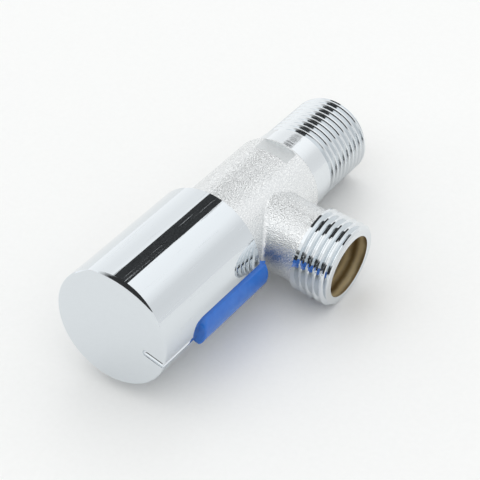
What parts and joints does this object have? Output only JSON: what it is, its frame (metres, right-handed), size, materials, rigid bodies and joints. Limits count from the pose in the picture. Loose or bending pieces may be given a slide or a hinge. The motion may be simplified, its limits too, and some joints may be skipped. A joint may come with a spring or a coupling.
{
  "type": "angle stop valve",
  "caption": "Angle stop valve: chromed body with a threaded inlet and an outlet square to it, ceramic quarter-turn cartridge, round handle with a blue index strip.",
  "frame": {"origin": "middle of the inlet thread, on the valve's axis", "axes": "+Y along the valve's axis into the wall, +X along the outlet, +Z square to both"},
  "size_m": [0.0446, 0.0922, 0.0294],
  "materials": {
    "chromed_brass": "bright chrome plate, satin where the casting was blasted",
    "chromed_zinc": "mirror chrome plate",
    "brass": "turned",
    "nitrile": "matt",
    "silicone": "matt",
    "acetal": "matt",
    "spring_steel": "phosphated",
    "stainless": "turned",
    "hardened_steel": "blackened",
    "alumina": "lapped",
    "blue_abs": "gloss"
  },
  "bodies": {
    "fixed": {"valve_body": "chromed_brass", "cartridge_housing": "brass", "housing_o_ring": "nitrile", "fixed_disc": "alumina", "seat_gasket": "silicone", "gasket_support": "stainless"},
    "turning": {"spindle": "brass", "spindle_o_ring_upper": "nitrile", "spindle_o_ring_lower": "nitrile", "lower_slip_washer": "acetal", "upper_slip_washer": "acetal", "retaining_clip": "spring_steel", "moving_disc": "alumina", "handle_shell": "chromed_zinc", "spline_adapter": "acetal", "grub_screw": "hardened_steel", "index_strip": "blue_abs"}
  },
  "joints": [
    {"name": "handle_turn", "type": "hinge", "parent": "fixed", "child": "turning", "pos_m": [0, -0.0508, 0], "axis": [0, -1, 0], "range_deg": [0, 90]}
  ]
}
